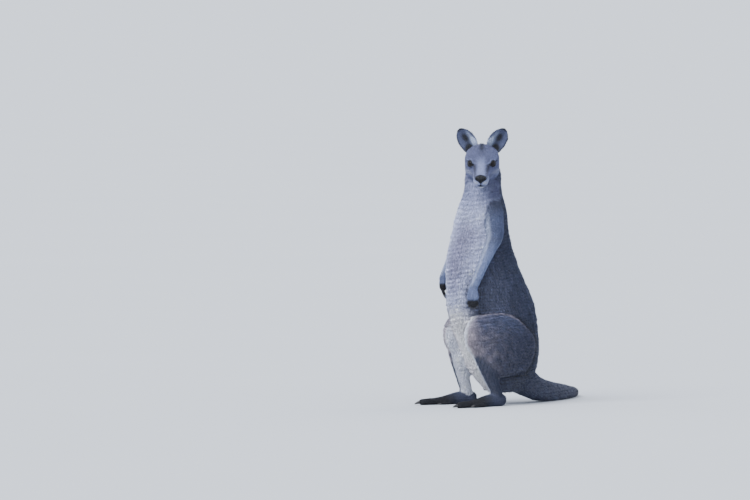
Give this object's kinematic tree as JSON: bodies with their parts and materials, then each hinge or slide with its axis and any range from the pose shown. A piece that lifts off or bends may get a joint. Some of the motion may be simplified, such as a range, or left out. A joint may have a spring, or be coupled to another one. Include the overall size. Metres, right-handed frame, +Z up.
{
  "type": "standing grey kangaroo, life size",
  "caption": "Life-size still model of an adult grey kangaroo standing upright on its long feet and tail, arms hanging, head turned to its left with both ears up.",
  "frame": {"origin": "on the floor, at the middle of the bounding box's base", "axes": "+Z up; the body faces -Y, so the animal's left side is +X; the tail trails to +Y and curves to -X"},
  "size_m": [0.4912, 1.0126, 1.1089],
  "materials": {
    "coat": "short dense fur, matte, dark grey on the back and flanks, pale grey on the chest and belly",
    "face": "very short fur, matte, grey with a pale muzzle and cheeks",
    "paw": "short dark fur and bare leathery skin, matte",
    "nose_skin": "fine-grained, slightly moist black skin",
    "eye": "polished, very dark brown",
    "claw": "dark horn, satin"
  },
  "bodies": {
    "root": {"head": "face", "lower_jaw": "face", "nose": "nose_skin", "eye_left": "eye", "eye_right": "eye", "ear_left": "face", "ear_right": "face", "neck": "coat", "chest": "coat", "belly": "coat", "rump": "coat", "tail_root": "coat", "tail_upper": "coat", "tail_middle": "coat", "tail_tip": "coat", "upper_arm_left": "coat", "forearm_left": "coat", "hand_left": "paw", "thigh_left": "coat", "shank_left": "coat", "foot_left": "paw", "hand_claw_left_1": "claw", "hand_claw_left_2": "claw", "hand_claw_left_3": "claw", "hand_claw_left_4": "claw", "hand_claw_left_5": "claw", "toe_claw_left_fourth": "claw", "toe_claw_left_fifth": "claw", "toe_claw_left_third": "claw", "toe_claw_left_second": "claw", "upper_arm_right": "coat", "forearm_right": "coat", "hand_right": "paw", "thigh_right": "coat", "shank_right": "coat", "foot_right": "paw", "hand_claw_right_1": "claw", "hand_claw_right_2": "claw", "hand_claw_right_3": "claw", "hand_claw_right_4": "claw", "hand_claw_right_5": "claw", "toe_claw_right_fourth": "claw", "toe_claw_right_fifth": "claw", "toe_claw_right_third": "claw", "toe_claw_right_second": "claw"}
  },
  "joints": []
}
